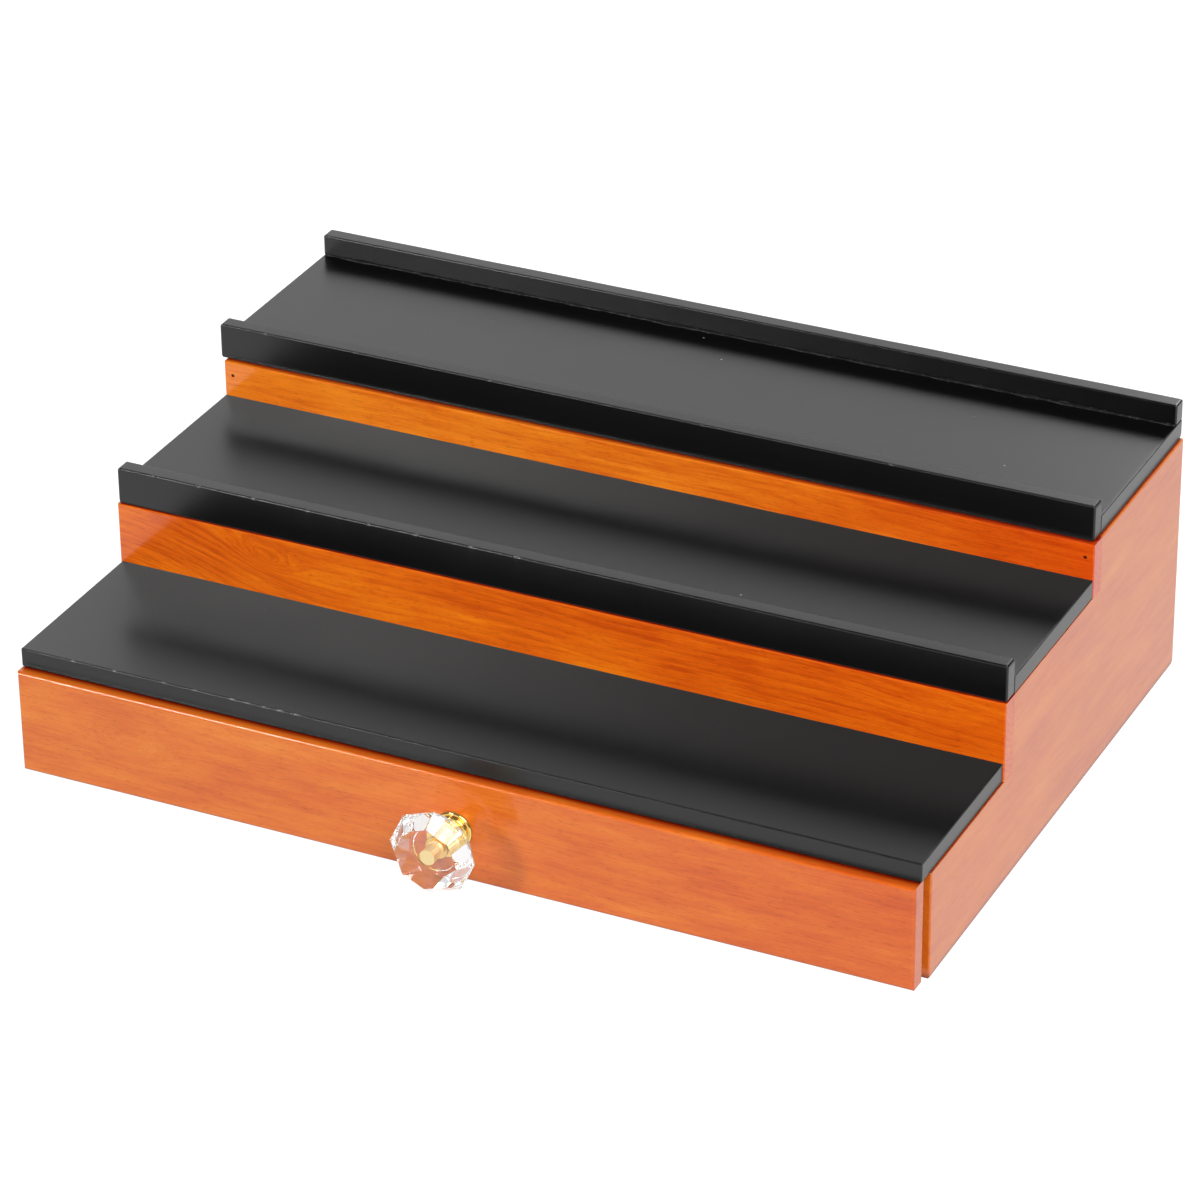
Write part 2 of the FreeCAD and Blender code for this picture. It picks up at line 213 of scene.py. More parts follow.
def makeDustGroup():
    # Sparse specks of unlike size
    group, given, result = newGroup(
        "dustSpecks",
        [("Vector", "Vector", (0, 0, 0)), ("Spacing", "Float", 0.012), ("Size", "Float", 0.0003),
         ("Share", "Float", 0.3)],
        [("Mask", "Float")])
    cells = vecCalc(group, "SCALE", given["Vector"])
    wire(group, cells.node.inputs["Scale"], calc(group, "DIVIDE", 1.0, given["Spacing"]))
    cell = put(group, "TexVoronoi", {"Vector": cells, "Scale": 1.0}, voronoi_dimensions="3D")
    pick = put(group, "SeparateColor", {0: cell.outputs["Color"]}).outputs
    far = calc(group, "MULTIPLY", cell.outputs["Distance"], given["Spacing"])
    size = calc(group, "MULTIPLY", given["Size"], calc(group, "ADD", pick[1], smallestSpeck))
    near = calc(group, "LESS_THAN", far, size)
    chosen = calc(group, "LESS_THAN", pick[0], given["Share"])
    wire(group, result["Mask"], calc(group, "MULTIPLY", near, chosen))
    return group


boardGrain = makeGrainGroup(grainShape)
edgeWear = makeEdgeGroup(edgeShape)
dustSpecks = makeDustGroup()
print("shared effects: boardGrain, edgeWear, dustSpecks")


# Finishes

def newMaterial(name):
    material = bpy.data.materials.new(name)
    material.use_nodes = True
    tree = material.node_tree
    tree.nodes.clear()
    shader = put(tree, "BsdfPrincipled")
    shader.location = (nodeGrid["shaderAt"], 0)
    out = put(tree, "OutputMaterial", {"Surface": shader.outputs[0]})
    out.location = (nodeGrid["outputAt"], 0)
    return material, tree, shader


def addBump(tree, shader, height, look, **sockets):
    given = {"Height": height, "Strength": look["bump"], "Distance": look["bumpDepth"], **sockets}
    wire(tree, shader.inputs["Normal"], put(tree, "Bump", given).outputs[0])


def wearOf(tree, place, look):
    patchiness = look["edgePatchiness"]
    return useGroup(tree, edgeWear, Vector=place, Radius=look["edgeRadius"], Patchiness=patchiness)


def wornEdges(tree, wear, color, look):
    share = calc(tree, "MULTIPLY", wear["Mask"], look["edgeShare"])
    return blendColor(tree, share, color, (*look["edgeColor"], 1))


def alongGrain(tree, axis):
    # Object coordinates, with X and Y changed over where the board's grain runs along Y
    place = put(tree, "TexCoord").outputs["Object"]
    if axis == "x":
        return place
    split = put(tree, "SeparateXYZ", {0: place}).outputs
    return put(tree, "CombineXYZ", {0: split[1], 1: split[0], 2: split[2]}).outputs[0]


def sweptGrain(tree, place, look):
    # Bends the grain towards one end of the board, as where a knot lay close by
    split = put(tree, "SeparateXYZ", {0: place}).outputs
    sockets = {0: split[0], 1: look["sweepFrom"], 2: look["sweepTo"], 3: 0.0, 4: -look["sweepRise"]}
    turn = put(tree, "MapRange", sockets, interpolation_type="SMOOTHSTEP").outputs[0]
    lifted = calc(tree, "ADD", split[2], turn)
    return put(tree, "CombineXYZ", {0: split[0], 1: split[1], 2: lifted}).outputs[0]


def woodFinish(name, look):
    material, tree, shader = newMaterial(name)
    straight = alongGrain(tree, look["grain"])
    place = sweptGrain(tree, straight, look)
    grain = useGroup(
        tree, boardGrain, Vector=place, Seed=look["seed"], RingSize=look["ringSize"], Pith=look["pith"],
        Tilt=look["tilt"], Waver=look["waver"], EyePlace=look["eyePlace"], EyeReach=look["eyeReach"],
        EyeRise=look["eyeRise"])
    wear = wearOf(tree, place, look)
    body = calc(tree, "MULTIPLY_ADD", grain["Fibre"], look["fibreShare"],
                calc(tree, "MULTIPLY", grain["Cloud"], look["cloudShare"]))
    tone = calc(tree, "SUBTRACT", body, calc(tree, "MULTIPLY", grain["Rings"], look["ringShare"]))
    color = ramp(tree, remap(tree, tone, look["toneLow"], look["toneHigh"]), look["colors"])
    # Redder and darker towards one end along the grain
    along = put(tree, "SeparateXYZ", {0: straight}).outputs[0]
    endReddening = remap(tree, along, look["redFrom"], look["redTo"], 0.0, look["redShare"])
    color = blendColor(tree, endReddening, color, (*look["redTint"], 1), "MULTIPLY")
    darker = blendColor(tree, 1.0, color, (*look["poreTint"], 1), "MULTIPLY")
    color = blendColor(tree, calc(tree, "MULTIPLY", grain["Pores"], look["poreDepth"]), color, darker)
    # Lighter along the edges: stain rubbed through, and a painted highlight along the rounded edges
    color = wornEdges(tree, wear, color, look)
    # Painted shade: the colour is darkened where another board stands close, as ambient occlusion finds it,
    # on some boards only on faces turned upwards
    sockets = {"Distance": look["paintedShadeReach"]}
    free = put(tree, "AmbientOcclusion", sockets, samples=look["paintedShadeSamples"]).outputs["AO"]
    least, most = look["paintedShadeLeast"], look["paintedShadeShare"]
    shaded = remap(tree, free, look["paintedShadeOpen"], look["paintedShadeShut"], least, most)
    if look["paintedShadeOnTopOnly"]:
        upward = put(tree, "SeparateXYZ", {0: put(tree, "NewGeometry").outputs["Normal"]}).outputs[2]
        shaded = calc(tree, "MULTIPLY", shaded, remap(tree, upward, look["topFrom"], look["topFull"]))
    color = blendColor(tree, shaded, color, (*look["paintedShadeTint"], 1), "MULTIPLY")
    # Painted reflection: for glossy rays the wood's colour is mostly swapped for grey, so the black paint
    # shows the wood's reflection with hardly any colour
    seen = put(tree, "LightPath").outputs
    mirrored = calc(tree, "SUBTRACT", seen["Is Glossy Ray"], seen["Is Transmission Ray"], clamp=True)
    mirrored = calc(tree, "MULTIPLY", mirrored, look["mirroredGrey"])
    color = blendColor(tree, mirrored, color, (*look["mirroredTint"], 1))
    wire(tree, shader.inputs["Base Color"], color)
    rough = calc(tree, "MULTIPLY_ADD", grain["Fibre"], look["roughSpread"], look["rough"])
    poreRough = calc(tree, "MULTIPLY", grain["Pores"], look["poreRough"])
    wire(tree, shader.inputs["Roughness"], calc(tree, "ADD", rough, poreRough))
    addBump(tree, shader, calc(tree, "SUBTRACT", grain["Fibre"], grain["Pores"]), look, Normal=wear["Normal"])
    return material


stain = {
    "grain": "x", "seed": 1.0, "ringSize": 5.0, "pith": (0, 30, 30), "tilt": 0.06, "waver": 7.0,
    "eyePlace": (0, 0, 0), "eyeReach": (10, 10, 4), "eyeRise": 0.0,
    "sweepFrom": 0.0, "sweepTo": 1.0, "sweepRise": 0.0,
    "fibreShare": 0.7, "cloudShare": 0.9, "ringShare": 0.05, "toneLow": 0.5, "toneHigh": 1.15,
    "colors": [(0.0, (0.64, 0.105, 0.008)), (0.35, (0.76, 0.160, 0.011)), (0.65, (0.83, 0.210, 0.016)),
               (1.0, (0.90, 0.290, 0.028))],
    "redFrom": -0.10, "redTo": 0.175, "redShare": 0.0, "redTint": (0.90, 0.55, 0.4),
    "poreTint": (0.55, 0.36, 0.3), "poreDepth": 0.5,
    # edges lighter: rubbed-through stain and a painted highlight
    "edgeRadius": 0.6 * mm, "edgePatchiness": 0.3, "edgeColor": (0.90, 0.30, 0.05), "edgeShare": 0.3,
    # painted shade where another board stands close
    "paintedShadeReach": 3.5 * mm, "paintedShadeOpen": 0.92, "paintedShadeShut": 0.55, "paintedShadeShare": 0.9,
    "paintedShadeTint": (0.28, 0.07, 0.05), "paintedShadeLeast": 0.0, "paintedShadeOnTopOnly": False, "paintedShadeSamples": 8,
    "topFrom": 0.3, "topFull": 0.9, "mirroredGrey": 0.95, "mirroredTint": (0.3, 0.3, 0.3),
    "rough": 0.10, "roughSpread": 0.08, "poreRough": 0.08, "bump": 0.12, "bumpDepth": 0.05 * mm,
}


def blackPaint(name, look):
    material, tree, shader = newMaterial(name)
    place = alongGrain(tree, look["grain"])
    grain = useGroup(tree, boardGrain, Vector=place, Seed=look["seed"], Waver=look["waver"])
    wear = wearOf(tree, place, look)
    dust = useGroup(
        tree, dustSpecks, Vector=place, Spacing=look["dustSpacing"], Size=look["dustSize"],
        Share=look["dustShare"])
    color = blendColor(tree, grain["Fibre"], (*look["dark"], 1), (*look["light"], 1))
    color = wornEdges(tree, wear, color, look)
    color = blendColor(tree, dust["Mask"], color, (*look["dustColor"], 1))
    scuffed = put(tree, "Attribute", attribute_name="wear").outputs["Fac"]
    scratches = noiseAt(tree, place, *look["scratchNoise"])
    scratched = remap(tree, scratches, look["scratchFrom"], look["scratchFull"])
    scuff = calc(tree, "MULTIPLY", scuffed, scratched)
    color = blendColor(tree, scuff, color, (*look["scuffColor"], 1))
    wire(tree, shader.inputs["Base Color"], color)
    smudge = noiseAt(tree, place, *look["smudgeNoise"])
    rough = calc(tree, "MULTIPLY_ADD", grain["Fibre"], look["roughSpread"], look["rough"])
    rough = calc(tree, "MULTIPLY_ADD", smudge, look["smudge"], rough)
    rough = calc(tree, "ADD", rough, calc(tree, "MULTIPLY", scuff, look["scuffRough"]))
    # Seen in another glossy face, the paint looks duller
    mirrored = put(tree, "LightPath").outputs["Is Glossy Ray"]
    rough = put(tree, "Mix", {0: mirrored, 2: rough, 3: look["mirroredRough"]}, data_type="FLOAT").outputs[0]
    wire(tree, shader.inputs["Roughness"], rough)
    pores = calc(tree, "MULTIPLY", grain["Pores"], look["poreDepth"])
    addBump(tree, shader, calc(tree, "SUBTRACT", grain["Fibre"], pores), look, Normal=wear["Normal"])
    shader.inputs["IOR"].default_value = look["ior"]
    return material


paint = {
    "grain": "x", "seed": 3.0, "waver": 5.0,
    "dark": (0.0006, 0.0006, 0.0006), "light": (0.0018, 0.0018, 0.0018),
    "edgeRadius": 0.5 * mm, "edgePatchiness": 0.85, "edgeColor": (0.16, 0.16, 0.155), "edgeShare": 0.7,
    "dustSpacing": 16 * mm, "dustSize": 0.3 * mm, "dustShare": 0.3, "dustColor": (0.25, 0.25, 0.25),
    "scuffColor": (0.30, 0.30, 0.29), "scuffRough": 0.4, "scratchNoise": ((900.0, 2600.0, 2600.0), 3.0, 0.6),
    "scratchFrom": 0.42, "scratchFull": 0.58, "smudgeNoise": ((14.0, 26.0, 26.0), 3.0, 0.6), "smudge": 0.06,
    "rough": 0.18, "roughSpread": 0.05, "mirroredRough": 0.9, "poreDepth": 0.6, "bump": 0.1,
    "bumpDepth": 0.04 * mm, "ior": 1.5,
}


def metalFinish(name, look):
    material, tree, shader = newMaterial(name)
    place = put(tree, "TexCoord").outputs["Object"]
    cloud = noiseAt(tree, place, *look["cloudNoise"])
    color = blendColor(tree, cloud, (*look["dark"], 1), (*look["light"], 1))
    wire(tree, shader.inputs["Base Color"], color)
    lines = noiseAt(tree, place, *look["turningNoise"])
    rough = calc(tree, "MULTIPLY_ADD", lines, look["roughSpread"], look["rough"])
    wire(tree, shader.inputs["Roughness"], rough)
    addBump(tree, shader, lines, look)
    shader.inputs["Metallic"].default_value = 1.0
    return material


brightSteel = {
    "dark": (0.45, 0.44, 0.42), "light": (0.62, 0.61, 0.60), "cloudNoise": ((220.0, 220.0, 220.0), 3.0, 0.6),
    "turningNoise": ((300.0, 9000.0, 300.0), 2.0), "rough": 0.3, "roughSpread": 0.08, "bump": 0.2,
    "bumpDepth": 0.01 * mm,
}
stainedSteel = {**brightSteel, "dark": (0.05, 0.02, 0.012), "light": (0.12, 0.05, 0.03), "rough": 0.45}
polishedBrass = {
    **brightSteel, "dark": (0.83, 0.52, 0.13), "light": (0.93, 0.65, 0.22), "rough": 0.08, "bump": 0.1,
}
knurledBrass = {
    **brightSteel, "dark": (1.0, 0.76, 0.32), "light": (1.0, 0.85, 0.46), "rough": 0.26, "bump": 0.1,
}


def glassFinish(name, look):
    material, tree, shader = newMaterial(name)
    place = put(tree, "TexCoord").outputs["Object"]
    haze = noiseAt(tree, place, *look["hazeNoise"])
    color = blendColor(tree, haze, (*look["cool"], 1), (*look["warm"], 1))
    wire(tree, shader.inputs["Base Color"], color)
    rough = remap(tree, haze, look["hazeFrom"], look["hazeFull"], 0.0, look["rough"])
    wire(tree, shader.inputs["Roughness"], rough)
    shader.inputs["Transmission Weight"].default_value = 1.0
    shader.inputs["IOR"].default_value = look["ior"]
    return material


crystalGlass = {
    "cool": (0.985, 0.985, 1.0), "warm": (1.0, 0.99, 0.985), "hazeNoise": ((90.0, 90.0, 90.0), 2.0),
    "hazeFrom": 0.45, "hazeFull": 0.8, "rough": 0.02, "ior": 1.52,
}


def dress(node, material):
    for slot in nodes[node].material_slots:
        slot.material = material
    if not nodes[node].material_slots:
        nodes[node].data.materials.append(material)


# The risers' colours: a little less blue than the stain's own, and brighter as painted light, making up for
# the light they get less of than the drawer front
lowerColors = [(0.0, (0.62, 0.080, 0.002)), (0.35, (0.80, 0.140, 0.003)), (0.65, (0.90, 0.200, 0.004)),
               (1.0, (1.00, 0.29, 0.007))]
upperColors = [(0.0, (0.68, 0.105, 0.004)), (0.35, (0.86, 0.190, 0.007)), (0.65, (0.96, 0.260, 0.012)),
               (1.0, (1.00, 0.36, 0.020))]
# Painted shade: the narrow ledge under each tray is darker, most of all in its corner, and faces turned
# upwards are darkened a little all over
paintedLedgeShade = {"paintedShadeReach": 2.5 * mm, "paintedShadeOpen": 0.95, "paintedShadeShut": 0.6, "paintedShadeLeast": 0.35,
             "paintedShadeShare": 1.0, "paintedShadeOnTopOnly": True}
sharpEdge = {"edgeRadius": 0.1 * mm, "edgeShare": 0.0}
calmGrain = {"fibreShare": 0.4, "toneLow": 0.33, "toneHigh": 1.02, "poreDepth": 0.25}
stainedBoards = {
    "drawer_front": {"seed": 1.3, "pith": (60, -95, 60), "tilt": 0.05, "ringShare": 0.07, "redShare": 0.6,
                     "eyePlace": (-128, -129.5, 22), "eyeReach": (14, 20, 6), "eyeRise": 5.0,
                     **sharpEdge, "edgeRadius": 0.08 * mm, **paintedLedgeShade},
    "lower_riser": {"seed": 2.1, "pith": (0, -20, 90), "tilt": 0.03, "colors": lowerColors, "ringShare": 0.12,
                    "ringSize": 2.3, "eyePlace": (-114, -53.6, 62), "eyeReach": (11, 20, 4.5), "eyeRise": 5.5,
                    "sweepFrom": -0.090, "sweepTo": -0.180, "sweepRise": 17 * mm, "redShare": 0.5,
                    **sharpEdge, **paintedLedgeShade},
    "upper_riser": {"seed": 3.7, "pith": (0, 60, 110), "tilt": 0.03, "colors": upperColors, "ringShare": 0.10,
                    "ringSize": 2.6, "redFrom": 0.0, "redShare": 1.0, "redTint": (0.85, 0.38, 0.2),
                    **sharpEdge, **paintedLedgeShade},
    "side_panel_left": {"seed": 4.4, "grain": "y", "pith": (0, -190, 60), **calmGrain},
    "side_panel_right": {"seed": 5.9, "grain": "y", "pith": (0, 190, 60), **calmGrain},
}
for node, own in stainedBoards.items():
    dress(node, woodFinish("stain_" + node, {**stain, **own}))
paleWood = {
    **stain, "colors": [(0.0, (0.34, 0.16, 0.065)), (0.4, (0.50, 0.27, 0.12)), (0.7, (0.60, 0.35, 0.17)),
                        (1.0, (0.68, 0.43, 0.23))],
    "ringSize": 7.0, "tilt": 0.12, "waver": 12.0, "fibreShare": 0.9, "cloudShare": 0.35, "ringShare": 0.22,
    "toneLow": 0.22, "toneHigh": 0.85, "rough": 0.5, "paintedShadeTint": (0.55, 0.45, 0.4),
}
paleBoards = {
    # node: the axis that its grain runs along
    "drawer_side_left": "y", "drawer_side_right": "y", "drawer_box_front": "x", "drawer_box_back": "x",
    "drawer_bottom": "x", "case_bottom": "x", "case_back": "x",
}
paleSeed = 7.0   # the first pale board's seed; each next one has one more
for i, (node, axis) in enumerate(paleBoards.items()):
    dress(node, woodFinish("pale_" + node, {**paleWood, "seed": paleSeed + i, "grain": axis}))
steel = metalFinish("brightSteel", brightSteel)
for node in ("bottom_brads", "back_brads", "drawer_brads"):
    dress(node, steel)
# The brads in the risers were stained and lacquered over with the wood
dress("riser_brads", metalFinish("stainedSteel", stainedSteel))
print("finishes on the case's boards, the drawer box and the brads")


# Modelled pieces

def addPiece(name, mesh, material, body, replaced=None):
    mesh.materials.append(material)
    piece = bpy.data.objects.new(name, mesh)
    bpy.context.scene.collection.objects.link(piece)
    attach(piece, body)
    if replaced:
        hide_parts(replaced)
    return piece


def closeMesh(name, shape, sharpAngle):
    # Faces outwards, smooth shading, and an edge wherever two faces turn by more than the angle
    bmesh.ops.recalc_face_normals(shape, faces=shape.faces)
    mesh = bpy.data.meshes.new(name)
    shape.to_mesh(mesh)
    shape.free()
    mesh.shade_smooth()
    mesh.set_sharp_from_angle(angle=math.radians(sharpAngle))
    return mesh


def ringFaces(shape, *rings):
    # Joins each ring to the next, where all have the same number of corners
    for first, second in zip(rings, rings[1:]):
        for i in range(len(first)):
            k = (i + 1) % len(first)
            shape.faces.new((first[i], first[k], second[k], second[i]))


def roundedOutline(low, high, radii, steps):
    # A board's section in Y and Z; the corners are front bottom, rear bottom, rear top, front top
    points = []
    for i, radius in enumerate(radii):
        y = (low[0] + radius, high[0] - radius)[i in (1, 2)]
        z = (low[1] + radius, high[1] - radius)[i in (2, 3)]
        for k in range(steps + 1):
            angle = math.radians(180 + 90 * (i + k / steps))
            points.append((y + radius * math.cos(angle), z + radius * math.sin(angle)))
    return points


def boardStations(left, right, look):
    # Places along the board: rounded ends, even steps between them, and closer ones at each scuff
    places = []
    steps = look["roundSteps"]
    depth = look["endDepth"]
    for k in range(steps + 1):
        angle = math.radians(90 * k / steps)
        inward = depth * (1 - math.cos(angle))
        places.append((left + inward, 1 - math.sin(angle)))
        places.append((right - inward, 1 - math.sin(angle)))
    count = int((right - left - 2 * depth) / look["step"])
    inner = [left + depth + look["step"] * i for i in range(1, count)]
    fine = look["scuffSteps"]
    for x, reach, _, _ in look["scuffs"]:
        inner = [v for v in inner if abs(v - x) > reach]
        inner += [x + reach * k / fine for k in range(-fine, fine + 1)]
    return sorted(places + [(x, 0.0) for x in inner])


def boardMesh(name, box, look):
    low, high = box
    shape = bmesh.new()
    wear = shape.verts.layers.float.new("wear")
    middle = ((low[1] + high[1]) / 2, (low[2] + high[2]) / 2)
    steps, turns = look["roundSteps"], look["swayTurns"]
    rings = []
    for x, shrink in boardStations(low[0], high[0], look):
        dy, dz = (shrink * v for v in look["endShrink"])
        radii = [max(r - min(dy, dz), look["leastRadius"]) for r in look["radii"]]
        outline = roundedOutline((low[1] + dy, low[2] + dz), (high[1] - dy, high[2] - dz), radii, steps)
        ring = []
        for i, (y, z) in enumerate(outline):
            sway = noise.noise(Vector((x / look["swayLength"] + look["seed"], y * turns, z * turns)))
            inward = (0.5 + 0.5 * sway) * look["sway"]
            worn = 0.0
            if 0 < i - 3 * (steps + 1) < steps:     # the round of the front top edge, the fourth corner
                for place, reach, dent, strength in look["scuffs"]:
                    near = math.exp(-((x - place) / reach * look["scuffFalloff"]) ** 2)
                    inward += dent * near
                    worn = max(worn, strength * near)
            y += math.copysign(inward, middle[0] - y)
            z += math.copysign(inward, middle[1] - z)
            vertex = shape.verts.new((x, y, z))
            vertex[wear] = worn
            ring.append(vertex)
        rings.append(ring)
    ringFaces(shape, *rings)
    shape.faces.new(rings[0])
    shape.faces.new(rings[-1])
    return closeMesh(name, shape, look["sharpAngle"])


def scuffRow(*places, reach=1.5, dent=0.05, strength=1.0):
    # Worn spots along a front top edge, given in millimetres
    return [(x * mm, reach * mm, dent * mm, strength) for x in places]


board = {
    "roundSteps": 5, "step": 5 * mm, "endDepth": 0.45 * mm, "endShrink": (0.45 * mm, 0.45 * mm),
    "radii": (0.35 * mm, 0.1 * mm, 0.1 * mm, 0.55 * mm), "leastRadius": 0.02 * mm, "sharpAngle": 40,
    "sway": 0.09 * mm, "swayLength": 23 * mm, "swayTurns": 60.0,
    "scuffs": [], "scuffSteps": 4, "scuffFalloff": 2.0, "finish": {},
}
lip = {
    **board, "endDepth": 0.9 * mm, "endShrink": (0.5 * mm, 1.5 * mm),
    "radii": (0.4 * mm, 0.1 * mm, 0.6 * mm, 0.6 * mm), "sway": 0.14 * mm,
}
blackBoards = {
    "bottom_tray": {
        **board, "seed": 1.0, "finish": {"rough": 0.24},
        "scuffs": scuffRow(-152.7, -135.8, -115.7, -103.2, strength=0.9)
        + scuffRow(-88, -82, -75, -69, -63, reach=2.6, dent=0.03, strength=0.7),
    },
    "middle_tray": {
        **board, "seed": 2.0, "radii": (0.1 * mm, 0.1 * mm, 0.1 * mm, 0.1 * mm), "finish": {"rough": 0.24},
    },
    "middle_tray_lip": {
        **lip, "seed": 3.0,
        "scuffs": scuffRow(-160, -141, -118, -96, -71, -52, -30, -12, reach=2.0, dent=0.12, strength=0.8),
    },
    "top_tray": {
        **board, "seed": 4.0, "radii": (0.1 * mm, 2.0 * mm, 0.3 * mm, 0.1 * mm),
        "finish": {"rough": 0.2, "mirroredRough": 0.35},   # its bright top shows in the rear lip
    },
    "top_tray_front_lip": {
        **lip, "seed": 5.0, "finish": {"rough": 0.27},
        "scuffs": scuffRow(-158, -120, -64, 22, 96, dent=0.1, strength=0.5),
    },
    "top_tray_rear_lip": {
        **lip, "seed": 6.0, "endShrink": (0.5 * mm, 0.6 * mm),
        "radii": (0.1 * mm, 0.3 * mm, 0.6 * mm, 0.6 * mm),
    },
}
paintSeed = 20.0   # the first painted board's seed; each next one has one more


def makeBlackBoards(boards):
    for i, (node, look) in enumerate(boards.items()):
        mesh = boardMesh(node.replace("_", "-"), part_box(node), look)
        material = blackPaint("paint_" + node, {**paint, "seed": paintSeed + i, **look["finish"]})
        piece = addPiece("painted_" + node, mesh, material, "case", node)
        piece.modifiers.new("flatFaces", "WEIGHTED_NORMAL").keep_sharp = True
    print("black trays and lips:", len(boards))


glueSeam = {
    "step": 1.6 * mm, "size": 0.75 * mm, "spread": 0.55 * mm, "leastSize": 0.15 * mm, "margin": 0.6 * mm,
    "blobTurns": 160.0, "dropTurns": 520.0, "dropShare": 0.6, "turnsAcross": 40.0, "dropSeed": 7.0,
    "arcSteps": 4, "hollow": 0.75, "height": 0.9, "sharpAngle": 60,
    "finish": {"seed": 31.0, "dustShare": 0.0, "rough": 0.3},
    # lip, tray, and whether the seam lies behind the lip (1) or in front of it (-1)
    "corners": (("top_tray_rear_lip", "top_tray", -1), ("top_tray_front_lip", "top_tray", 1),
                ("middle_tray_lip", "middle_tray", 1)),
}


def seamMesh(name, left, right, y, z, side, look):
    # A ragged bead of glue and paint in the corner between a tray and its lip
    shape = bmesh.new()
    rings = []
    count = int((right - left) / look["step"])
    last = look["arcSteps"]
    for n in range(count + 1):
        x = left + (right - left) * n / count
        blob = noise.noise(Vector((x * look["blobTurns"], y * look["turnsAcross"], 0)))
        drop = noise.noise(Vector((x * look["dropTurns"], y * look["turnsAcross"], look["dropSeed"])))
        size = max(look["size"] + look["spread"] * (blob + look["dropShare"] * drop), look["leastSize"])
        ring = [shape.verts.new((x, y, z))]
        for k in range(last + 1):     # the arc ends on the tray and on the lip
            angle = math.radians(90 * k / last)
            across = size * (1 - look["hollow"] * math.sin(angle)) if k < last else 0.0
            over = size * (1 - look["hollow"] * math.cos(angle)) * look["height"] if k > 0 else 0.0
            ring.append(shape.verts.new((x, y + side * across, z + over)))
        rings.append(ring)
    ringFaces(shape, *rings)
    shape.faces.new(rings[0])
    shape.faces.new(rings[-1])
    return closeMesh(name, shape, look["sharpAngle"])


def makeGlueSeams(look):
    material = blackPaint("paint_seams", {**paint, **look["finish"]})
    for lipNode, trayNode, side in look["corners"]:
        low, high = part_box(lipNode)
        left, right = low[0] + look["margin"], high[0] - look["margin"]
        y = high[1] if side > 0 else low[1]
        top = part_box(trayNode)[1][2]
        mesh = seamMesh("seam-" + lipNode, left, right, y, top, side, look)
        addPiece("glue_seam_" + lipNode, mesh, material, "case")
    print("glue seams in the lips' corners")


knob = {
    "sides": 8, "turn": -3.5, "segments": 96,
    # Corner rings of the cut, from the table to the foot: radius, distance from the drawer, turn in sides
    "corners": ((12.1 * mm, 22.55 * mm, 0.0), (16.3 * mm, 17.35 * mm, 0.0), (16.3 * mm, 16.65 * mm, 0.0),
                (10.6 * mm, 9.05 * mm, 0.5)),
    "facetEdge": 0.13 * mm, "neck": 8.6 * mm, "neckEdge": 0.25 * mm, "rearAt": 7.05 * mm,
    "brassGap": 0.06 * mm,
    # The insert is glued in with no air gap, so the bore's wall and end lie just inside the brass
    "bore": 2.4 * mm, "boreEnd": 19.3 * mm, "flatWithin": 0.5, "sharpAngle": 10,
}
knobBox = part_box("knob_crystal")
knobAxis = ((knobBox[0][0] + knobBox[1][0]) / 2, (knobBox[0][2] + knobBox[1][2]) / 2)
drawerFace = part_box("drawer_front")[0][1]


def knobPoint(radius, distance, angle):
    # A point at a radius from the knob's axis and at a distance in front of the drawer
    x, z = radius * math.cos(angle), radius * math.sin(angle)
    return (knobAxis[0] + x, drawerFace - distance, knobAxis[1] + z)


def knobRing(shape, radius, distance, look):
    angles = [math.radians(look["turn"] + 360 * i / look["segments"]) for i in range(look["segments"])]
    return [shape.verts.new(knobPoint(radius, distance, angle)) for angle in angles]


def angleRound(vertex):
    return math.atan2(vertex.co.z - knobAxis[1], vertex.co.x - knobAxis[0]) % (2 * math.pi)


def joinRings(shape, outer, inner):
    # Triangles between two rings of unlike counts, taken in turn round the knob's axis
    outer, inner = sorted(outer, key=angleRound), sorted(inner, key=angleRound)
    i = k = 0
    while i < len(outer) or k < len(inner):
        nextOuter = angleRound(outer[(i + 1) % len(outer)]) + 2 * math.pi * (i + 1 >= len(outer))
        nextInner = angleRound(inner[(k + 1) % len(inner)]) + 2 * math.pi * (k + 1 >= len(inner))
        a, b = outer[i % len(outer)], inner[k % len(inner)]
        if k >= len(inner) or (i < len(outer) and nextOuter <= nextInner):
            shape.faces.new((a, outer[(i + 1) % len(outer)], b))
            i += 1
        else:
            shape.faces.new((a, inner[(k + 1) % len(inner)], b))
            k += 1


def convexSolid(points, flatWithin):
    # The convex solid of the points, with each flat facet as one face
    shape = bmesh.new()
    for point in points:
        shape.verts.new(point)
    bmesh.ops.convex_hull(shape, input=shape.verts)
    bmesh.ops.delete(shape, geom=[v for v in shape.verts if not v.link_faces], context="VERTS")
    limit = math.radians(flatWithin)
    bmesh.ops.dissolve_limit(shape, angle_limit=limit, verts=shape.verts, edges=shape.edges)
    return shape


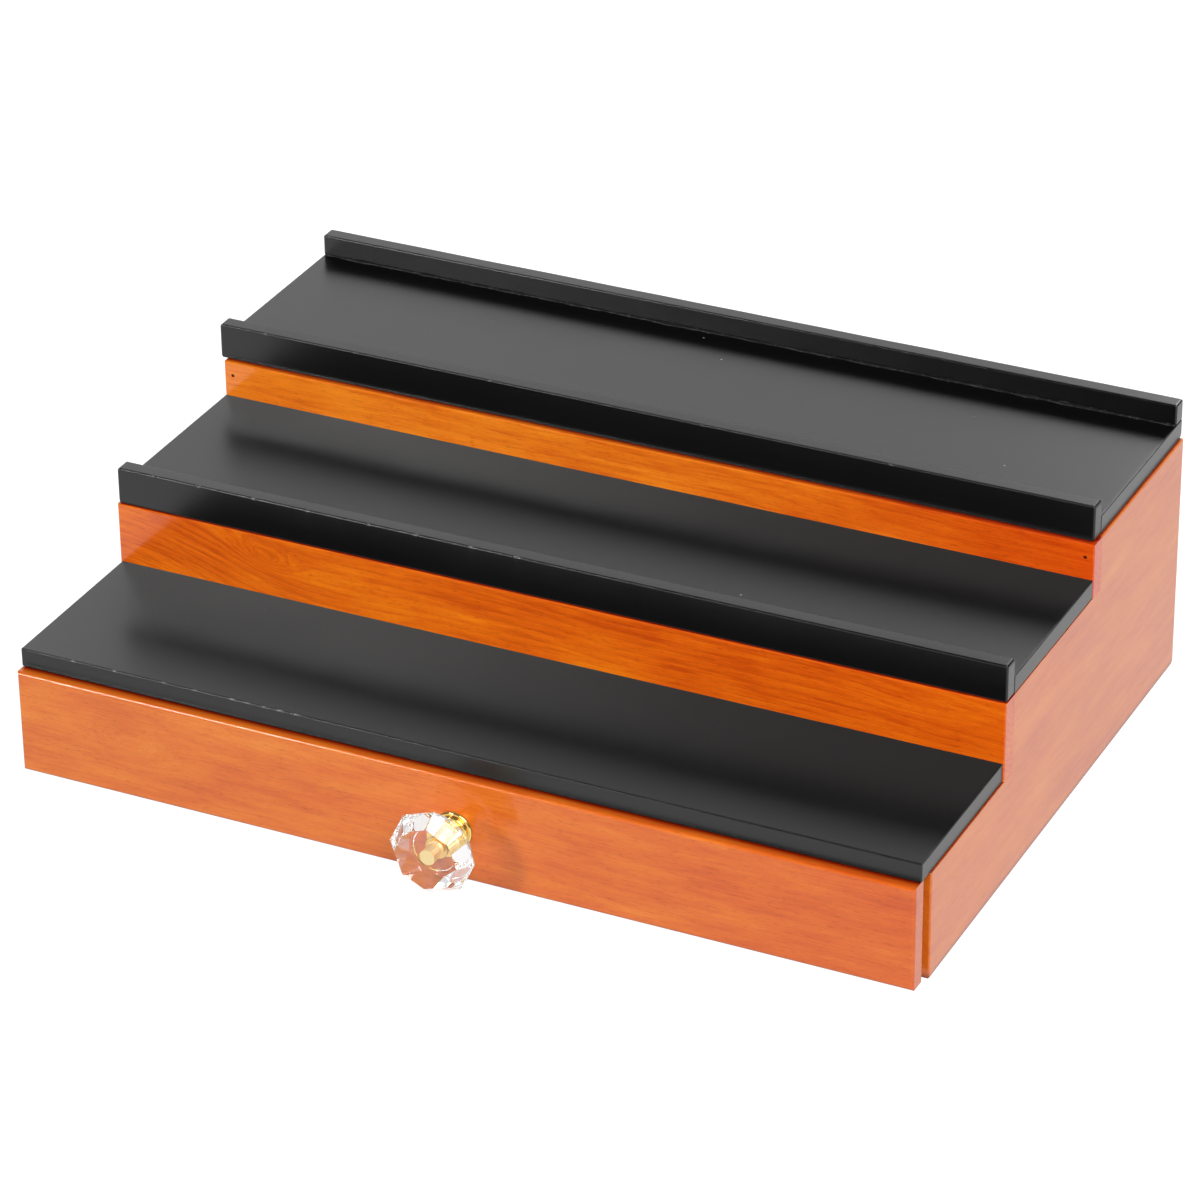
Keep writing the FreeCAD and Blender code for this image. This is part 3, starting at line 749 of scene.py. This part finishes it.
def crystalMesh(look):
    corners = []
    for radius, distance, turn in look["corners"]:
        for i in range(look["sides"]):
            angle = math.radians(look["turn"] + 360 * (i + turn) / look["sides"])
            corners.append(knobPoint(radius, distance, angle))
    rough = convexSolid(corners, look["flatWithin"])
    eased = []
    # Each facet is drawn in a little, which leaves a fine chamfer along its edges
    for facet in rough.faces:
        middle = facet.calc_center_median()
        for vertex in facet.verts:
            away = vertex.co - middle
            eased.append(vertex.co - away.normalized() * look["facetEdge"])
    rough.free()
    shape = convexSolid(eased, look["flatWithin"])
    foot = max(shape.faces, key=lambda face: face.calc_center_median().y)
    footAt = drawerFace - foot.verts[0].co.y
    footRing = list(foot.verts)
    bmesh.ops.delete(shape, geom=[foot], context="FACES_ONLY")
    neck, edge, bore = look["neck"], look["neckEdge"], look["bore"]
    rear = look["rearAt"] + look["brassGap"]
    # The neck, its rear face round the bore, and the bore
    turned = ((neck, footAt), (neck, rear + edge), (neck - edge, rear), (bore, rear), (bore, look["boreEnd"]))
    rings = [knobRing(shape, radius, distance, look) for radius, distance in turned]
    joinRings(shape, footRing, rings[0])
    ringFaces(shape, *rings)
    shape.faces.new(rings[-1])
    return closeMesh("crystal", shape, look["sharpAngle"])


turnedSharp = 28   # degrees between two faces that leave an edge on a turned piece


def turnedMesh(name, profile, segments, flutes=0):
    # Turns a closed profile of (radius, distance from the drawer, flute depth) about the knob's axis
    shape = bmesh.new()
    rings = []
    for radius, distance, flute in profile:
        if radius == 0:
            rings.append([shape.verts.new(knobPoint(0, distance, 0))])
            continue
        ring = []
        for i in range(segments):
            angle = 2 * math.pi * i / segments
            depth = flute * (0.5 + 0.5 * math.cos(flutes * angle))
            ring.append(shape.verts.new(knobPoint(radius - depth, distance, angle)))
        rings.append(ring)
    for first, second in zip(rings, rings[1:] + rings[:1]):
        if len(first) == len(second) == segments:
            ringFaces(shape, first, second)
        elif len(first) != len(second):
            tip, ring = sorted((first, second), key=len)
            for i in range(segments):
                shape.faces.new((tip[0], ring[i], ring[(i + 1) % segments]))
    return closeMesh(name, shape, turnedSharp)


rosette = {
    "ringRadii": (7.0 * mm, 6.0 * mm, 5.0 * mm), "ringHeight": 1.3 * mm, "grooveDepth": 0.5 * mm,
    "grooveWidth": 0.25 * mm, "beadSteps": 10, "bore": 2.2 * mm, "waist": 3.9 * mm, "waistHeight": 0.6 * mm,
    "cup": 4.3 * mm, "cupHeight": 1.2 * mm, "cupSteps": 6, "flute": 0.22 * mm, "fluteFrom": 4, "flutes": 40,
    "rim": 0.6 * mm, "rimBevel": 0.15 * mm, "segments": 160,
}


def rosetteProfile(look):
    profile = [(look["bore"], 0.0, 0.0)]
    distance = 0.0
    half = look["ringHeight"] / 2
    for radius in look["ringRadii"]:     # rounded steps with a fine groove after each
        for i in range(look["beadSteps"] + 1):
            angle = math.pi * i / look["beadSteps"]
            bead = radius - half * (1 - math.sin(angle))
            profile.append((bead, distance + half * (1 - math.cos(angle)), 0.0))
        distance += look["ringHeight"]
        profile.append((radius - half - look["grooveDepth"], distance + look["grooveWidth"] / 2, 0.0))
        distance += look["grooveWidth"]
    profile.append((look["waist"], distance, 0.0))
    distance += look["waistHeight"]
    profile.append((look["waist"], distance, 0.0))
    for i in range(look["cupSteps"] + 1):     # the cup flares in a curve, fluted along its outer part
        angle = math.radians(90 * i / look["cupSteps"])
        radius = look["waist"] + (look["cup"] - look["waist"]) * math.sin(angle)
        rise = look["cupHeight"] * (1 - math.cos(angle))
        profile.append((radius, distance + rise, look["flute"] if i >= look["fluteFrom"] else 0.0))
    end = distance + look["cupHeight"] + look["rim"]
    profile.append((look["cup"], end - look["rimBevel"], look["flute"]))
    profile.append((look["cup"] - look["rimBevel"], end, 0.0))
    profile.append((look["bore"], end, 0.0))
    return profile


insert = {
    "start": 7.05 * mm, "tip": 19.55 * mm, "radius": 2.95 * mm, "groove": 0.45 * mm, "bands": 12,
    "step": 0.1 * mm, "flutes": 20, "flute": 0.16 * mm, "thread": 2.0 * mm, "threadDepth": 9.0 * mm,
    "collar": 0.5 * mm, "tipBevel": 0.12 * mm, "segments": 160,
}


def insertProfile(look):
    # Barbed rings that hold the insert in the glass, knurled along their crests, and a collar at the tip
    start, tip, radius, step = look["start"], look["tip"], look["radius"], look["step"]
    inner = radius - look["groove"]
    bottom = start + look["threadDepth"]
    profile = [(0.0, bottom, 0.0), (look["thread"], bottom, 0.0), (look["thread"], start, 0.0)]
    pitch = (tip - start - look["collar"]) / look["bands"]
    for i in range(look["bands"]):
        profile.append((inner, start + pitch * i, 0.0))
        profile.append((radius, start + pitch * i + step, look["flute"]))
        profile.append((radius, start + pitch * i + 2 * step, look["flute"]))
    profile.append((inner, tip - look["collar"], 0.0))
    profile.append((radius, tip - look["collar"] + step, 0.0))
    profile.append((radius, tip - look["tipBevel"], 0.0))
    profile.append((radius - look["tipBevel"], tip, 0.0))
    profile.append((0.0, tip, 0.0))
    return profile


screw = {
    "seat": -13.5 * mm, "tip": 11.5 * mm, "shank": 1.9 * mm, "head": 3.8 * mm, "headHeight": 2.4 * mm,
    "tipBevel": 0.4 * mm, "dome": 0.55, "domeSteps": 6, "segments": 48,
    "slotLength": 4.2 * mm, "slotWidth": 0.9 * mm, "slotDepth": 1.3 * mm,
}


def screwMesh(look):
    top = look["seat"] - look["headHeight"]
    dome = look["headHeight"] * look["dome"]
    steps, shank, bevel = look["domeSteps"], look["shank"], look["tipBevel"]
    profile = [(0.0, look["tip"], 0.0), (shank - bevel, look["tip"], 0.0), (shank, look["tip"] - bevel, 0.0),
               (shank, look["seat"], 0.0), (look["head"], look["seat"], 0.0)]
    for i in range(steps + 1):
        angle = math.radians(90 * i / steps)
        radius = look["head"] * math.cos(angle) if i < steps else 0.0
        profile.append((radius, top + dome - dome * math.sin(angle), 0.0))
    blank = turnedMesh("screw", profile, look["segments"])
    body = bpy.data.objects.new("screwBlank", blank)
    bpy.context.scene.collection.objects.link(body)
    # A cross recess for the driver, cut out of the head by two bars
    cross = bmesh.new()
    for across in ((look["slotLength"], look["slotWidth"]), (look["slotWidth"], look["slotLength"])):
        bar = bmesh.ops.create_cube(cross, size=1.0)["verts"]
        bmesh.ops.scale(cross, vec=(across[0], 2 * look["slotDepth"], across[1]), verts=bar)
        bmesh.ops.translate(cross, vec=knobPoint(0, top, 0), verts=bar)
    cutterMesh = bpy.data.meshes.new("crossRecess")
    cross.to_mesh(cutterMesh)
    cross.free()
    cutter = bpy.data.objects.new("crossRecess", cutterMesh)
    bpy.context.scene.collection.objects.link(cutter)
    cut = body.modifiers.new("recess", "BOOLEAN")
    cut.object = cutter
    cut.solver = "EXACT"
    cut.use_self = True
    bpy.context.view_layer.update()
    cutBody = body.evaluated_get(bpy.context.evaluated_depsgraph_get())
    mesh = bpy.data.meshes.new_from_object(cutBody)
    bpy.data.objects.remove(body)
    bpy.data.objects.remove(cutter)
    return mesh


def makeKnob():
    glass = glassFinish("cutCrystal", crystalGlass)
    addPiece("cut_crystal", crystalMesh(knob), glass, "drawer", "knob_crystal")
    rosetteMesh = turnedMesh("rosette", rosetteProfile(rosette), rosette["segments"], rosette["flutes"])
    brass = metalFinish("polishedBrass", polishedBrass)
    addPiece("brass_rosette", rosetteMesh, brass, "drawer", "knob_base")
    insertMesh = turnedMesh("insert", insertProfile(insert), insert["segments"], insert["flutes"])
    knurled = metalFinish("knurledBrass", knurledBrass)
    addPiece("brass_insert", insertMesh, knurled, "drawer", "knob_insert")
    addPiece("pan_head_screw", screwMesh(screw), steel, "drawer", "knob_screw")
    print("knob: crystal, rosette, insert and screw")


makeBlackBoards(blackBoards)
makeGlueSeams(glueSeam)
makeKnob()


# Stage, light and camera

stageLook = {
    "floorReach": 6.0, "floorDrop": 0.05 * mm, "floorNoise": ((3.0, 3.0, 3.0), 2.0), "floorRough": 0.9,
    "floorDark": (0.20, 0.20, 0.20), "floorLight": (0.22, 0.22, 0.22),
    # A ray that has passed through the glass counts as glossy too, so its own share takes some away again
    "floorGlow": {"Is Camera Ray": 0.95, "Is Glossy Ray": 0.95, "Is Transmission Ray": -0.28},
    "worldColor": (0.97, 0.97, 1.0), "worldStrength": 0.12, "worldThroughGlass": 0.6,
}
softboxes = {
    # name: degrees round from the front and above the floor, distance, width, height, watts
    "key": (-32, 25, 2.5, 0.4, 0.4, 22.5),
    "rightFill": (45, 45, 2.5, 1.5, 1.5, 66.0),
    "rightSide": (100, 35, 2.5, 1.5, 1.5, 10.0),
    "backdrop": (-154, 21.5, 2.5, 1.9, 1.2, 8.4),
    "rearLeft": (-125, 30, 2.5, 0.8, 0.8, 12.0),
    "rear": (180, 30, 2.5, 0.8, 0.8, 12.0),
}
lightAim = Vector((0, -0.03, 0.04))


def makeFloor(look):
    mesh = bpy.data.meshes.new("floor")
    r, z = look["floorReach"], -look["floorDrop"]
    mesh.from_pydata([(-r, -r, z), (r, -r, z), (r, r, z), (-r, r, z)], [], [(0, 1, 2, 3)])
    floor = bpy.data.objects.new("floor", mesh)
    bpy.context.scene.collection.objects.link(floor)
    material, tree, shader = newMaterial("paleFloor")
    place = put(tree, "TexCoord").outputs["Object"]
    mottle = noiseAt(tree, place, *look["floorNoise"])
    color = blendColor(tree, mottle, (*look["floorDark"], 1), (*look["floorLight"], 1))
    wire(tree, shader.inputs["Base Color"], color)
    shader.inputs["Roughness"].default_value = look["floorRough"]
    shader.inputs["Emission Color"].default_value = (1, 1, 1, 1)
    # A lit white table: bright to the eye and in reflections, while it throws little light on the wood
    seen = put(tree, "LightPath").outputs
    glow = 0.0
    for ray, strength in look["floorGlow"].items():
        glow = calc(tree, "MULTIPLY_ADD", seen[ray], strength, glow)
    wire(tree, shader.inputs["Emission Strength"], glow)
    mesh.materials.append(material)


def makeWorld(look):
    world = bpy.data.worlds.new("studio")
    bpy.context.scene.world = world
    world.use_nodes = True
    tree = world.node_tree
    background = tree.nodes["Background"]
    background.inputs["Color"].default_value = (*look["worldColor"], 1)
    through = put(tree, "LightPath").outputs["Is Transmission Ray"]
    strength = calc(tree, "MULTIPLY_ADD", through, look["worldThroughGlass"], look["worldStrength"])
    wire(tree, background.inputs["Strength"], strength)


def makeLights(boxes):
    for name, (around, above, distance, width, height, watts) in boxes.items():
        data = bpy.data.lights.new(name, "AREA")
        data.shape = "RECTANGLE"
        data.size = width
        data.size_y = height
        data.energy = watts
        light = bpy.data.objects.new(name, data)
        turn, rise = math.radians(around), math.radians(above)
        away = Vector((math.sin(turn) * math.cos(rise), -math.cos(turn) * math.cos(rise), math.sin(rise)))
        light.location = lightAim + away * distance
        light.rotation_euler = (-away).to_track_quat("-Z", "Y").to_euler()
        bpy.context.scene.collection.objects.link(light)


cameraSet = {
    "place": Vector((0.72680, -1.50210, 0.97412)), "aim": Vector((0.05828, -0.1295, 0.12502)),
    "roll": math.radians(-0.637), "lens": 157.27, "sensor": 36.0,
}


def makeCamera(look):
    data = bpy.data.cameras.new("camera")
    data.sensor_width = look["sensor"]
    data.lens = look["lens"]
    camera = bpy.data.objects.new("camera", data)
    forward = (look["aim"] - look["place"]).normalized()
    level = forward.cross(Vector((0, 0, 1))).normalized()
    over = level.cross(forward)
    right = level * math.cos(look["roll"]) + over * math.sin(look["roll"])
    up = right.cross(forward)
    turn = Matrix((right, up, -forward)).transposed().to_4x4()
    camera.matrix_world = Matrix.Translation(look["place"]) @ turn
    bpy.context.scene.collection.objects.link(camera)
    bpy.context.scene.camera = camera


makeFloor(stageLook)
makeWorld(stageLook)
makeLights(softboxes)
makeCamera(cameraSet)
bpy.context.scene.view_settings.view_transform = "Standard"
lightBounces = 24   # the cut crystal passes light on many times
bpy.context.scene.cycles.glossy_bounces = lightBounces
bpy.context.scene.cycles.transmission_bounces = lightBounces
bpy.context.scene.cycles.max_bounces = lightBounces
print("stage, light and camera set")
